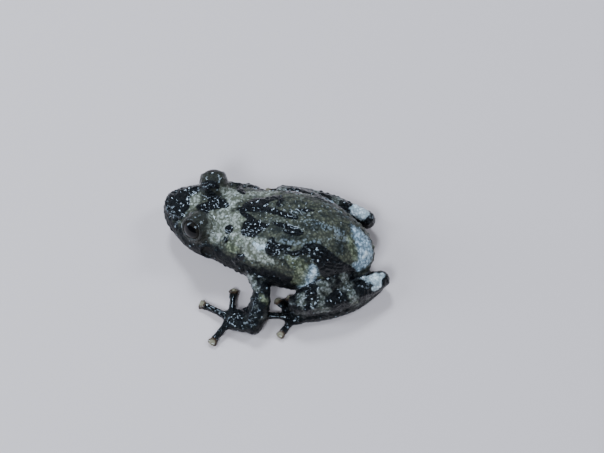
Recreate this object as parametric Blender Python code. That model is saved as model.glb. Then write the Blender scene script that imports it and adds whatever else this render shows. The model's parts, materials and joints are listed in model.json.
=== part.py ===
"""A warty tree frog of the species Theloderma stellatum, life size, crouched on a flat floor.

Modelled in millimetres and brought to metres at the end, +Z up. The frog faces -Y and its left side
is towards +X. It rests on the plane Z = 0 with its belly, hands, feet and folded lower legs.
Each part of the body is one closed object, and parts that touch keep a gap of GAP between them.
"""

import math

import bmesh
import bpy
from mathutils import Matrix, Vector

METRES = 0.001
GAP = 0.3

# Driving sizes of the head
HEAD_TURN = math.radians(5.5)
SNOUT = Vector((-1.8, -15.4, 3.6))
NECK_BEHIND_SNOUT = 10.6
EYES_BEHIND_SNOUT = 6.55
EYE_SPACING = 7.05
EYE_HEIGHT = 6.3
LID_RADIUS = 2.08
EYEBALL_RADIUS = 1.98
EYE_OPENING = 1.33
EYE_DEPTH = 2.3
# The way the eyes look: backward, out to the side, up
GAZE = (-0.34, 0.82, 0.46)
LID_RIM = 0.16
LID_RIM_SINK = 0.08
BROW_RADIUS = 1.9
BROW_DROP = 0.8
BROW_INWARD = 0.25
TYMPANUM_BEHIND_SNOUT = 8.5
TYMPANUM_HEIGHT = 4.5
TYMPANUM_RADIUS = 0.9
TYMPANUM_DEPTH = 0.28
TYMPANUM_RIM = 0.16
NOSTRIL_RADIUS = 0.3
NOSTRIL = (1.55, 1.4, 5.0)

# Ridges on one side of the head, as places on the skin: distance behind the snout tip, height
LIP_SPOTS = (9.0, 7.0, 5.0, 3.3, 2.0, 1.2)
LIP_FRONT = 0.68
LIP_RISE = 0.5
LIP_THICKNESS = (0.12, 0.25, 0.25, 0.25, 0.25, 0.25, 0.12)
EAR_FOLD = ((8.2, 5.85), (9.1, 5.65), (9.85, 5.0), (10.1, 4.1))
EAR_FOLD_THICKNESS = (0.3, 0.34, 0.2)
# The edge from the eye to the nostril: behind the snout tip, aside, height
SNOUT_EDGE = ((5.2, 2.9, 5.6), (3.2, 2.1, 5.2), (1.7, 1.4, 4.8))
SNOUT_EDGE_THICKNESS = (0.5, 0.42, 0.34)

# Trunk stations: distance behind the snout tip, sideways place of the midline, half-width, top, bottom
TRUNK = (
    (0.2, -1.85, 0.0, 3.8, 3.8),
    (0.5, -1.84, 1.45, 4.7, 2.8),
    (1.4, -1.78, 2.5, 5.25, 2.3),
    (3.2, -1.52, 3.95, 5.7, 1.8),
    (6.3, -0.95, 5.5, 6.3, 1.3),
    (10.0, -0.35, 5.95, 7.2, 0.9),
    (12.6, 0.35, 6.15, 8.0, 0.6),
    (16.0, 0.95, 6.7, 9.1, 0.1),
    (20.0, 1.25, 6.9, 9.8, -0.15),
    (23.5, 1.35, 6.2, 9.5, -0.1),
    (26.5, 1.40, 4.8, 8.4, 0.3),
    (28.6, 1.40, 3.4, 7.1, 1.0),
    (30.0, 1.35, 1.7, 5.7, 2.3),
    (30.5, 1.30, 0.0, 4.2, 4.2),
)
TRUNK_START = TRUNK[0][0]
TRUNK_END = TRUNK[-1][0]
WIDEST_SHARE = 0.42
SIDE_ROUNDNESS = 0.88
TOP_ROUNDNESS = 0.9
TRUNK_SIDES = 32
RING_STEP = 1.15
ROUND_ENDS = (0.3, 0.7, 1.2, 1.8, 2.5)
ROOT_DEPTH = 1.6

# The line of the mouth from the snout to its corner: distance behind the snout tip, height
MOUTH_LINE = ((-1.0, 3.25), (0.8, 3.2), (3.0, 2.75), (6.0, 2.45), (8.6, 2.35))
JAW_BACK = ((9.3, 1.6), (9.6, -1.0))

# Thickness of the limbs, as radii from their upper to their lower end
UPPER_ARM = (1.3, 1.2, 1.15)
FOREARM = (1.15, 1.35, 1.3, 1.2)
THIGH = (1.35, 1.5, 1.5, 1.3)
SHANK = (1.45, 1.6, 1.5, 1.25)
TARSUS = (0.95, 1.05, 1.0, 0.95)
LIMB_SIDES = 12
LIMB_RING_STEP = 1.3
RIDGE_SIDES = 8

# The pose: the joints of each limb, and the tips of its digits, inner digit first
ARMS = {
    "left": {
        "shoulder": (4.0, -2.2, 3.6),
        "elbow": (9.0, 0.9, 3.6),
        "wrist": (13.4, 0.5, 1.3),
        "palm": (12.7, -2.7, 0.85),
        "tips": ((10.2, -0.1), (8.4, -3.3), (11.1, -7.2), (16.4, -4.6)),
    },
    "right": {
        "shoulder": (-3.4, -2.2, 3.0),
        "elbow": (-5.9, -2.3, 2.6),
        "wrist": (-7.0, -5.6, 1.25),
        "palm": (-6.8, -8.1, 0.85),
        "tips": ((-4.7, -8.3), (-4.5, -10.8), (-6.2, -12.5), (-8.6, -11.0)),
    },
}
LEGS = {
    "left": {
        "hip": (3.2, 12.2, 4.2),
        "knee": (9.2, 6.6, 3.4),
        "shin": (9.9, 6.1, 2.9),
        "heel": (4.1, 16.3, 2.3),
        "sole": (4.7, 15.9, 1.1),
        "ankle": (10.5, 7.3, 0.85),
        "ball": (10.9, 5.7, 0.75),
        "thigh_bow": (0.3, 0.2, 0.3),
        "shank_bow": (0.6, 0.5, 0.0),
        "tarsus_bow": (0.6, 0.6, 0.0),
        "tips": ((8.9, 6.0), (8.0, 4.5), (8.8, 2.9), (11.3, 1.3), (13.8, 4.2)),
    },
    "right": {
        "hip": (-1.4, 11.6, 3.9),
        "knee": (-5.9, 1.2, 4.0),
        "shin": (-6.5, 0.9, 2.9),
        "heel": (-4.9, 13.1, 2.3),
        "sole": (-5.3, 12.7, 1.1),
        "ankle": (-8.0, 4.6, 0.85),
        "ball": (-8.2, 3.0, 0.75),
        "thigh_bow": (-0.9, 0.0, 0.3),
        "shank_bow": (-0.45, 0.0, 0.0),
        "tarsus_bow": (-0.8, 0.0, 0.0),
        "tips": ((-7.0, 2.3), (-6.4, 0.6), (-6.8, -1.3), (-8.3, -1.8), (-8.9, 1.4)),
    },
}
SIDES = {"left": 1, "right": -1}

# Digits: radii across and upright from the root to the disc
DIGIT_STALK = ((0.62, 0.52), (0.48, 0.45), (0.43, 0.41), (0.42, 0.40), (0.48, 0.40))
FINGER_DISC = 0.85
TOE_DISC = 0.72
DISC_THICKNESS = 0.42
DISC_CENTRE = 0.34
DIGIT_ARCH = 0.12
DIGIT_SIDES = 8
DIGIT_RINGS = 7
WEB_SHARE = 0.62
WEB_DIP = 0.42
WEB_THICKNESS = 0.5
WEB_LIFT = 0.08


def clear_scene():
    for obj in list(bpy.data.objects):
        bpy.data.objects.remove(obj, do_unlink=True)


def material(name, colour, roughness):
    made = bpy.data.materials.new(name)
    made.use_nodes = True
    shader = made.node_tree.nodes["Principled BSDF"]
    shader.inputs["Base Color"].default_value = (*colour, 1.0)
    shader.inputs["Roughness"].default_value = roughness
    shader.inputs["Metallic"].default_value = 0.0
    made.diffuse_color = (*colour, 1.0)
    return made


def smooth_at(rows, spot):
    """The row of a table at this spot of its first column, on a smooth curve through its rows."""
    last = len(rows) - 1
    k = next((i for i in range(last) if spot <= rows[i + 1][0]), last - 1)
    span = rows[k + 1][0] - rows[k][0]
    t = (spot - rows[k][0]) / span

    def slope(i, column):
        a, b = rows[max(i - 1, 0)], rows[min(i + 1, last)]
        return (b[column] - a[column]) / (b[0] - a[0])

    return [
        (2 * t**3 - 3 * t**2 + 1) * rows[k][c]
        + (t**3 - 2 * t**2 + t) * span * slope(k, c)
        + (3 * t**2 - 2 * t**3) * rows[k + 1][c]
        + (t**3 - t**2) * span * slope(k + 1, c)
        for c in range(len(rows[k]))
    ]


def new_object(name, bm, look):
    """A named object from a bmesh, which this uses up."""
    bmesh.ops.recalc_face_normals(bm, faces=bm.faces)
    bmesh.ops.triangulate(bm, faces=bm.faces)
    mesh = bpy.data.meshes.new(name)
    bm.to_mesh(mesh)
    bm.free()
    obj = bpy.data.objects.new(name, mesh)
    obj.data.materials.append(look)
    bpy.context.scene.collection.objects.link(obj)
    return obj


def loft(rings, first_tip, last_tip):
    """One closed bmesh through rings of equally many points, with a fan to a tip at each end."""
    bm = bmesh.new()
    loops = [[bm.verts.new(point) for point in ring] for ring in rings]
    sides = len(loops[0])
    for near, far in zip(loops, loops[1:]):
        for k in range(sides):
            after = (k + 1) % sides
            bm.faces.new((near[k], near[after], far[after], far[k]))
    for loop, tip in ((loops[0], first_tip), (loops[-1], last_tip)):
        end = bm.verts.new(tip)
        for k in range(sides):
            bm.faces.new((loop[k], loop[(k + 1) % sides], end))
    return bm


def flatten_on_floor(bm):
    for vert in bm.verts:
        vert.co.z = max(vert.co.z, 0.0)


def keep_largest(obj):
    """Keeps the closed surface that holds the most, and drops sealed hollows and loose scraps."""
    bm = bmesh.new()
    bm.from_mesh(obj.data)
    bmesh.ops.triangulate(bm, faces=bm.faces)
    left, shells = set(bm.verts), []
    while left:
        shell, front = set(), [left.pop()]
        while front:
            vert = front.pop()
            shell.add(vert)
            for edge in vert.link_edges:
                other = edge.other_vert(vert)
                if other in left:
                    left.discard(other)
                    front.append(other)
        shells.append(shell)

    def volume(shell):
        faces = {face for vert in shell for face in vert.link_faces}
        corners = ([vert.co for vert in face.verts] for face in faces)
        return sum(a.dot(b.cross(c)) for a, b, c in corners) / 6

    shells.sort(key=volume)
    bmesh.ops.delete(bm, geom=[vert for shell in shells[:-1] for vert in shell], context="VERTS")
    bm.to_mesh(obj.data)
    bm.free()


def boolean(obj, others, operation):
    """Joins the others to the object, cuts them from it or keeps what they share. The others go."""
    tools = bpy.data.collections.new("tools")
    for other in others:
        tools.objects.link(other)
    modifier = obj.modifiers.new(operation.lower(), "BOOLEAN")
    modifier.operation = operation
    modifier.operand_type = "COLLECTION"
    modifier.collection = tools
    modifier.solver = "EXACT"
    graph = bpy.context.evaluated_depsgraph_get()
    mesh = bpy.data.meshes.new_from_object(obj.evaluated_get(graph))
    obj.modifiers.clear()
    obj.data = mesh
    for other in others:
        bpy.data.objects.remove(other, do_unlink=True)
    bpy.data.collections.remove(tools)
    keep_largest(obj)
    return obj


def trunk_ring(behind, extra):
    """The trunk's cross-section this far behind the snout tip, grown by an extra all round."""
    _, middle, half, top, bottom = smooth_at(TRUNK, behind)
    ahead, after = (max(behind - GAP, TRUNK_START), min(behind + GAP, TRUNK_END))
    turn = math.atan2(smooth_at(TRUNK, after)[1] - smooth_at(TRUNK, ahead)[1], after - ahead)
    widest = bottom + WIDEST_SHARE * (top - bottom)
    ring = []
    for k in range(TRUNK_SIDES):
        angle = 2 * math.pi * k / TRUNK_SIDES
        c, s = math.cos(angle), math.sin(angle)
        rise = (top - widest if s > 0 else widest - bottom) + extra
        aside = (half + extra) * math.copysign(abs(c) ** SIDE_ROUNDNESS, c)
        height = widest + rise * math.copysign(abs(s) ** TOP_ROUNDNESS, s)
        along = SNOUT.y + behind - aside * math.sin(turn)
        ring.append(Vector((middle + aside * math.cos(turn), along, height)))
    return ring


def trunk(name, look, extra=0.0):
    """Head and torso in one, with rings closer together at the rounded ends."""
    start, end = TRUNK_START + ROUND_ENDS[-1], TRUNK_END - ROUND_ENDS[-1]
    count = round((end - start) / RING_STEP)
    spots = [TRUNK_START + spot for spot in ROUND_ENDS]
    spots += [start + (end - start) * k / count for k in range(1, count)]
    spots += [TRUNK_END - spot for spot in reversed(ROUND_ENDS)]
    spots = [spot for spot in spots if smooth_at(TRUNK, spot)[2] + extra > 1]
    tips = []
    for spot in (spots[0] - ROUND_ENDS[0], spots[-1] + ROUND_ENDS[0]):
        _, middle, _, top, bottom = smooth_at(TRUNK, spot)
        tips.append(Vector((middle, SNOUT.y + spot, (top + bottom) / 2)))
    bm = loft([trunk_ring(spot, extra) for spot in spots], *tips)
    if extra == 0:
        flatten_on_floor(bm)
    return new_object(name, bm, look)


def tube(name, points, radii, look, extra=0.0, sides=LIMB_SIDES, ring_step=LIMB_RING_STEP):
    """A round-ended limb along a smooth curve. Each radius is one number or a pair, across and upright."""
    points = [Vector(point) for point in points]
    lengths = [0.0]
    for a, b in zip(points, points[1:]):
        lengths.append(lengths[-1] + (b - a).length)
    pairs = [r if isinstance(r, tuple) else (r, r) for r in radii]
    spread = [lengths[-1] * k / (len(pairs) - 1) for k in range(len(pairs))]
    course = [(length, *point) for length, point in zip(lengths, points)]
    sizes = [(length, *pair) for length, pair in zip(spread, pairs)]
    count = max(4, round(lengths[-1] / ring_step))
    spots = [lengths[-1] * k / count for k in range(count + 1)]
    spine = [Vector(smooth_at(course, spot)[1:]) for spot in spots]
    rings = []

    def ring(centre, along, across, upright):
        side = along.cross(Vector((0, 0, 1))).normalized()
        up = side.cross(along)
        turns = (2 * math.pi * k / sides for k in range(sides))
        rings.append([centre + side * across * math.cos(t) + up * upright * math.sin(t) for t in turns])

    def rounded_end(k, outward, turns):
        along = (spine[k] - spine[k - outward]).normalized()
        _, across, upright = smooth_at(sizes, spots[k])
        reach = min(across, upright) + extra
        for turn in turns:
            shrink = math.cos(turn)
            place = spine[k] + along * reach * math.sin(turn)
            ring(place, along * outward, (across + extra) * shrink, (upright + extra) * shrink)
        return spine[k] + along * reach

    end_turns = (math.radians(32), math.radians(62)) if sides > RIDGE_SIDES else (math.radians(45),)
    first_tip = rounded_end(0, -1, end_turns[::-1])
    for k, centre in enumerate(spine):
        along = (spine[min(k + 1, count)] - spine[max(k - 1, 0)]).normalized()
        _, across, upright = smooth_at(sizes, spots[k])
        ring(centre, along, across + extra, upright + extra)
    last_tip = rounded_end(count, 1, end_turns)
    bm = loft(rings, first_tip, last_tip)
    if extra == 0:
        flatten_on_floor(bm)
    return new_object(name, bm, look)


def head_point(behind, aside, height):
    """A point given by the head: distance behind the snout tip, to its left, and above the floor."""
    c, s = math.cos(HEAD_TURN), math.sin(HEAD_TURN)
    return Vector((SNOUT.x + behind * s + aside * c, SNOUT.y + behind * c - aside * s, height))


def head_direction(backward, left, up):
    return (head_point(backward, left, up) - head_point(0, 0, 0)).normalized()


def facing(direction):
    """A rotation that takes +Z to this direction."""
    return Vector((0, 0, 1)).rotation_difference(direction).to_matrix().to_4x4()


def side_block(name, outline, look, reach=12.0):
    """A block right across the head, from its outline in side view: distance behind the snout, height."""
    bm = bmesh.new()
    left = [bm.verts.new(head_point(behind, reach, height)) for behind, height in outline]
    right = [bm.verts.new(head_point(behind, -reach, height)) for behind, height in outline]
    bm.faces.new(left)
    bm.faces.new(right[::-1])
    for k in range(len(outline)):
        after = (k + 1) % len(outline)
        bm.faces.new((left[after], left[k], right[k], right[after]))
    return new_object(name, bm, look)


def ahead_of(name, behind, look):
    """All that lies in front of this distance behind the snout tip."""
    return side_block(name, [(-3, -3), (behind, -3), (behind, 14), (-3, 14)], look)


def ball(name, centre, radii, look, turn=None, level=3):
    bm = bmesh.new()
    bmesh.ops.create_icosphere(bm, subdivisions=level, radius=1.0)
    place = Matrix.Translation(centre) @ (turn or Matrix.Identity(4)) @ Matrix.Diagonal((*radii, 1))
    bmesh.ops.transform(bm, matrix=place, verts=bm.verts)
    return new_object(name, bm, look)


def rod(name, base, direction, radius, length, look, sides=24):
    """A straight round rod from its base in a direction."""
    bm = bmesh.new()
    bmesh.ops.create_cone(bm, cap_ends=True, segments=sides, radius1=radius, radius2=radius, depth=length)
    place = Matrix.Translation(base + direction * length / 2) @ facing(direction)
    bmesh.ops.transform(bm, matrix=place, verts=bm.verts)
    return new_object(name, bm, look)


def hoop(name, centre, direction, radius, thickness, look, turns=24, sides=8):
    """A ring of round section about a direction."""
    bm = bmesh.new()
    place = Matrix.Translation(centre) @ facing(direction)
    sections = []
    for j in range(turns):
        round_hoop = 2 * math.pi * j / turns
        section = []
        for k in range(sides):
            round_section = 2 * math.pi * k / sides
            out = radius + thickness * math.cos(round_section)
            rise = thickness * math.sin(round_section)
            point = Vector((out * math.cos(round_hoop), out * math.sin(round_hoop), rise))
            section.append(bm.verts.new(place @ point))
        sections.append(section)
    for j in range(turns):
        near, far = sections[j], sections[(j + 1) % turns]
        for k in range(sides):
            up = (k + 1) % sides
            bm.faces.new((near[k], far[k], far[up], near[up]))
    return new_object(name, bm, look)


def on_cheek(behind, height, side):
    """A point on the side of the head at this height, and the direction that the skin faces there."""
    _, middle, half, top, bottom = smooth_at(TRUNK, behind)
    widest = bottom + WIDEST_SHARE * (top - bottom)
    rise = top - widest if height > widest else widest - bottom
    s = (abs(height - widest) / rise) ** (1 / TOP_ROUNDNESS)
    aside = side * half * math.sqrt(1 - s**2) ** SIDE_ROUNDNESS
    place = Vector((middle, SNOUT.y + behind, height)) + aside * (head_point(0, 1, 0) - head_point(0, 0, 0))
    return place, head_direction(0.0, side, (height - widest) * half / rise**2)


def eye_frame(side):
    """The centre of the eye on this side, and the direction in which it looks."""
    centre = head_point(EYES_BEHIND_SNOUT, side * EYE_SPACING / 2, EYE_HEIGHT)
    backward, outward, upward = GAZE
    return centre, head_direction(backward, side * outward, upward)


def eye_stem(name, side, look, extra=0.0):
    """The round opening of the eye, from the depth of the eyeball out past the lids."""
    centre, gaze = eye_frame(side)
    inner = EYEBALL_RADIUS - EYE_DEPTH - extra
    return rod(name, centre + gaze * inner, gaze, EYE_OPENING + extra, LID_RADIUS + 1 - inner, look)


def eyeball(name, side, look):
    """The eyeball as far as the lids leave it open, on a stem that fills the opening."""
    globe = ball("globe", eye_frame(side)[0], (EYEBALL_RADIUS,) * 3, look)
    return boolean(eye_stem(name, side, look), [globe], "INTERSECT")


def lids(side, look):
    """The dome of skin over the eyeball, its base on the cheek, and the thick edge of the lids."""
    centre, gaze = eye_frame(side)
    rim_radius = EYE_OPENING + GAP + LID_RIM / 2
    rim_centre = centre + gaze * (math.sqrt(LID_RADIUS**2 - rim_radius**2) - LID_RIM_SINK)
    brow = head_point(EYES_BEHIND_SNOUT, side * (EYE_SPACING / 2 - BROW_INWARD), EYE_HEIGHT - BROW_DROP)
    return [
        ball("lid_dome", centre, (LID_RADIUS,) * 3, look),
        ball("brow", brow, (BROW_RADIUS,) * 3, look, level=2),
        hoop("lid_rim", rim_centre, gaze, rim_radius, LID_RIM, look),
    ]


def openings(side, look):
    """What is hollow on one side of the head: eye opening, nostril and the dish of the tympanum."""
    ear, outward = on_cheek(TYMPANUM_BEHIND_SNOUT, TYMPANUM_HEIGHT, side)
    dish = (TYMPANUM_RADIUS, TYMPANUM_RADIUS, TYMPANUM_DEPTH)
    behind, aside, height = NOSTRIL
    nostril = head_point(behind, side * aside, height)
    return [
        eye_stem("socket", side, look, GAP),
        ball("tympanum", ear + outward * TYMPANUM_RIM, dish, look, facing(outward), 2),
        ball("nostril", nostril, (NOSTRIL_RADIUS,) * 3, look, level=2),
    ]


def lip(look):
    """The roll of the upper lip, from one corner of the mouth round the snout to the other."""
    rows = [(spot, smooth_at(MOUTH_LINE, spot)[1] + LIP_RISE) for spot in LIP_SPOTS]
    left, right = ([on_cheek(behind, height, side)[0] for behind, height in rows] for side in SIDES.values())
    line = [*left, head_point(LIP_FRONT, 0.0, MOUTH_LINE[1][1] + LIP_RISE), *right[::-1]]
    return tube("lip", line, LIP_THICKNESS, look, 0.0, RIDGE_SIDES, 1.2)


def ridges(side, look):
    """The fold from the eye over the tympanum, the edge from eye to nostril, and the tympanum's rim."""
    fold = [on_cheek(behind, height, side)[0] for behind, height in EAR_FOLD]
    edge = [head_point(behind, side * aside, height) for behind, aside, height in SNOUT_EDGE]
    ear, outward = on_cheek(TYMPANUM_BEHIND_SNOUT, TYMPANUM_HEIGHT, side)
    return [
        tube("ear_fold", fold, EAR_FOLD_THICKNESS, look, 0.0, RIDGE_SIDES, 0.6),
        tube("snout_edge", edge, SNOUT_EDGE_THICKNESS, look, 0.0, RIDGE_SIDES, 1.0),
        hoop("ear_rim", ear, outward, TYMPANUM_RADIUS + TYMPANUM_RIM / 2, TYMPANUM_RIM, look, 18, 6),
    ]


def jaw_outline(extra=0.0):
    """The lower jaw in side view. The extra moves its upper and rear edges outward."""
    upper = [(behind, height + extra) for behind, height in MOUTH_LINE]
    back = [(behind + extra, height) for behind, height in JAW_BACK]
    return [*upper, *back, (MOUTH_LINE[0][0], JAW_BACK[-1][1])]


def head(look):
    front = ahead_of("front", NECK_BEHIND_SNOUT - GAP / 2, look)
    made = boolean(trunk("head", look), [front], "INTERSECT")
    raised = [form for side in SIDES.values() for form in (*lids(side, look), *ridges(side, look))]
    boolean(made, [lip(look), *raised], "UNION")
    hollows = [form for side in SIDES.values() for form in openings(side, look)]
    hollows += [side_block("mouth", jaw_outline(GAP), look), arm_tube("forearm", "right", look, GAP)]
    return boolean(made, hollows, "DIFFERENCE")


def lower_jaw(look):
    below = side_block("below_mouth", jaw_outline(), look)
    return boolean(trunk("lower_jaw", look), [below], "INTERSECT")


def arm_tube(part, side, look, extra=0.0):
    shoulder, elbow, wrist = (Vector(ARMS[side][joint]) for joint in ("shoulder", "elbow", "wrist"))
    if part == "upper_arm":
        points, radii = (shoulder, shoulder.lerp(elbow, 0.5) + Vector((0, 0, 0.2)), elbow), UPPER_ARM
    else:
        points, radii = (elbow, elbow.lerp(wrist, 0.5) + Vector((0, 0.2, 0.1)), wrist), FOREARM
    return tube(f"{part}_{side}", points, radii, look, extra)


def leg_tube(part, side, look, extra=0.0):
    ends, radii = {
        "thigh": (("hip", "knee"), THIGH),
        "shank": (("shin", "heel"), SHANK),
        "tarsus": (("sole", "ankle"), TARSUS),
    }[part]
    start, end = (Vector(LEGS[side][joint]) for joint in ends)
    bow = Vector(LEGS[side][part + "_bow"])
    points = (start, start.lerp(end, 0.33) + bow, start.lerp(end, 0.67) + bow, end)
    return tube(f"{part}_{side}", points, radii, look, extra)


def digit(name, root, tip, disc, look):
    """One finger or toe: a slender stalk that widens into a flat disc lying on the floor."""
    end = Vector((*tip, DISC_CENTRE))
    middle = root.lerp(end, 0.5) + Vector((0, 0, DIGIT_ARCH))
    course = [root, root.lerp(middle, 0.8), middle.lerp(end, 0.6), end]
    shape = [*DIGIT_STALK, (disc, DISC_THICKNESS)]
    return tube(name, course, shape, look, 0.0, DIGIT_SIDES, (end - root).length / DIGIT_RINGS)


def web(name, root, tips, look):
    """The skin between two toes: a thin plate with a hollow front edge."""
    base, *ends = (Vector((point[0], point[1], WEB_LIFT)) for point in (root, *tips))
    dip = base.lerp((ends[0] + ends[1]) / 2, WEB_DIP)
    outline = [base, base.lerp(ends[0], WEB_SHARE), dip, base.lerp(ends[1], WEB_SHARE)]
    bm = bmesh.new()
    low = [bm.verts.new(point) for point in outline]
    high = [bm.verts.new(point + Vector((0, 0, WEB_THICKNESS))) for point in outline]
    for base_corner, a, dip_corner, b in (low, high):
        bm.faces.new((base_corner, a, dip_corner))
        bm.faces.new((base_corner, dip_corner, b))
    for k in range(4):
        after = (k + 1) % 4
        bm.faces.new((low[k], low[after], high[after], high[k]))
    return new_object(name, bm, look)


def hand(side, look):
    wrist, palm = (Vector(ARMS[side][joint]) for joint in ("wrist", "palm"))
    radii = ((1.2, 0.95), (1.45, 0.85), (1.55, 0.7))
    made = tube(f"hand_{side}", (wrist, wrist.lerp(palm, 0.6), palm), radii, look)
    fingers = []
    for number, tip in enumerate(ARMS[side]["tips"]):
        root = palm.lerp(Vector((*tip, 0.7)), 0.12)
        fingers.append(digit(f"finger_{number}", root, tip, FINGER_DISC, look))
    return boolean(made, fingers, "UNION")


def foot(side, look):
    ankle, front = (Vector(LEGS[side][joint]) for joint in ("ankle", "ball"))
    tips = LEGS[side]["tips"]
    radii = ((1.0, 0.85), (1.1, 0.75), (1.2, 0.6))
    made = tube(f"foot_{side}", (ankle, ankle.lerp(front, 0.5), front), radii, look)
    forms = []
    for number, tip in enumerate(tips):
        root = front.lerp(Vector((*tip, 0.6)), 0.1)
        forms.append(digit(f"toe_{number}", root, tip, TOE_DISC, look))
    for number in range(len(tips) - 1):
        forms.append(web(f"web_{number}", front, tips[number : number + 2], look))
    return boolean(made, forms, "UNION")


def torso(look):
    """The rump, belly and back, with a shallow bed for each limb that presses on it."""
    cuts = [ahead_of("neck", NECK_BEHIND_SNOUT + GAP / 2, look)]
    for side in SIDES:
        cuts += [arm_tube(part, side, look, GAP) for part in ("upper_arm", "forearm")]
        cuts += [leg_tube(part, side, look, GAP) for part in ("thigh", "shank")]
    return boolean(trunk("torso", look), cuts, "DIFFERENCE")


def rooted(limb, look):
    """A limb that ends a little way inside the trunk."""
    return boolean(limb, [trunk("core", look, -ROOT_DEPTH)], "DIFFERENCE")


def arm(side, skin, dark):
    upper = rooted(arm_tube("upper_arm", side, skin), skin)
    fore = boolean(arm_tube("forearm", side, dark), [arm_tube("upper_arm", side, dark, GAP)], "DIFFERENCE")
    palm = boolean(hand(side, dark), [arm_tube("forearm", side, dark, GAP)], "DIFFERENCE")
    return [upper, fore, palm]


def leg(side, skin, dark):
    thigh = rooted(leg_tube("thigh", side, skin), skin)
    shank = boolean(leg_tube("shank", side, skin), [leg_tube("thigh", side, skin, GAP)], "DIFFERENCE")
    above = [leg_tube(part, side, skin, GAP) for part in ("thigh", "shank")]
    tarsus = boolean(leg_tube("tarsus", side, dark), above, "DIFFERENCE")
    above = [leg_tube(part, side, skin, GAP) for part in ("thigh", "shank", "tarsus")]
    sole = boolean(foot(side, dark), above, "DIFFERENCE")
    return [thigh, shank, tarsus, sole]


def set_down(parts):
    """Brings the parts to metres, on an empty that centres the frog's box on the origin."""
    corners = []
    for obj in parts:
        obj.data.transform(Matrix.Scale(METRES, 4))
        obj.data.shade_smooth()
        obj.data.set_sharp_from_angle(angle=math.radians(40))
        corners += [vert.co for vert in obj.data.vertices]
    low, high = (Vector([pick(point[k] for point in corners) for k in range(3)]) for pick in (min, max))
    frog = bpy.data.objects.new("frog", None)
    frog.location = (-(low.x + high.x) / 2, -(low.y + high.y) / 2, -low.z)
    bpy.context.scene.collection.objects.link(frog)
    for obj in parts:
        obj.parent = frog


def build():
    clear_scene()
    skin = material("mottled_skin", (0.055, 0.055, 0.035), 0.35)
    dark = material("dark_skin", (0.02, 0.022, 0.02), 0.3)
    eye = material("eye", (0.012, 0.010, 0.008), 0.08)
    parts = [head(skin), lower_jaw(skin), torso(skin)]
    parts += [eyeball(f"eye_{name}", side, eye) for name, side in SIDES.items()]
    for side in SIDES:
        parts += arm(side, skin, dark)
        parts += leg(side, skin, dark)
    set_down(parts)


build()
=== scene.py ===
import json
import math

import bpy
import numpy as np
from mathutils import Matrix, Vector, noise
from mathutils.bvhtree import BVHTree
from mathutils.kdtree import KDTree

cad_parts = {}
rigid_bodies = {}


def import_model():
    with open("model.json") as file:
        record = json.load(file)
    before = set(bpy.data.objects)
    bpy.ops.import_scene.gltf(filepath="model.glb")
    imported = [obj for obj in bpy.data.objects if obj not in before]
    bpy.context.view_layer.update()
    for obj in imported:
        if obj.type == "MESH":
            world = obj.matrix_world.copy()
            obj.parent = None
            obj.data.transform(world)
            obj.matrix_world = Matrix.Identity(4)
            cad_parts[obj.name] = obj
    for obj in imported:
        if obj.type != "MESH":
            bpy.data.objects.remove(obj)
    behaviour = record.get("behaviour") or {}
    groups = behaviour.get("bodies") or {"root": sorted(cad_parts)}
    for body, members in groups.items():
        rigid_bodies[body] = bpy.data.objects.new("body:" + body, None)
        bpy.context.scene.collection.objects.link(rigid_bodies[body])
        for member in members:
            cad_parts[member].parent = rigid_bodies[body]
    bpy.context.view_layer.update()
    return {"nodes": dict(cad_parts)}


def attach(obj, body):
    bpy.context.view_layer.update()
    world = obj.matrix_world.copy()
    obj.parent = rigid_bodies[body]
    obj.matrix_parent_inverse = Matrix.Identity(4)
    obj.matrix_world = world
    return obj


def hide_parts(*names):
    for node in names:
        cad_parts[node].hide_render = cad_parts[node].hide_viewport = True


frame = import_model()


# The skin is one closed sheet over head, trunk and limbs, thin, wet and warty, with no seam.
# It is made from the flesh solids, swollen until neighbours touch, made one surface and shrunk back.
# The mouth, the nostrils, the ear drums, the warts and the wrinkles are then worked into it.
MM = 0.001
FLESH = [name for name in sorted(frame["nodes"]) if not name.startswith("eye_")]
JOINING = 0.24 * MM
SKIN_MESH = 0.16 * MM
WELD = 0.0001 * MM
FAR = 9.0


def alone(obj):
    """Makes this the one selected and active object."""
    bpy.ops.object.select_all(action="DESELECT")
    obj.select_set(True)
    bpy.context.view_layer.objects.active = obj


def change(obj, kind, **settings):
    """Adds a modifier with these settings and applies it."""
    alone(obj)
    modifier = obj.modifiers.new(kind.lower(), kind)
    for name, value in settings.items():
        setattr(modifier, name, value)
    bpy.ops.object.modifier_apply(modifier=modifier.name)


def in_mm(mesh, field="co"):
    """The places of a mesh's points in millimetres, or their normals."""
    numbers = np.empty(len(mesh.vertices) * 3)
    if field == "co":
        mesh.vertices.foreach_get("co", numbers)
        return numbers.reshape(-1, 3) / MM
    mesh.vertex_normals.foreach_get("vector", numbers)
    return numbers.reshape(-1, 3)


bpy.ops.object.select_all(action="DESELECT")
for name in FLESH:
    copy = bpy.data.objects.new("flesh_" + name, frame["nodes"][name].data.copy())
    bpy.context.scene.collection.objects.link(copy)
    copy.select_set(True)
    bpy.context.view_layer.objects.active = copy

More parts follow.
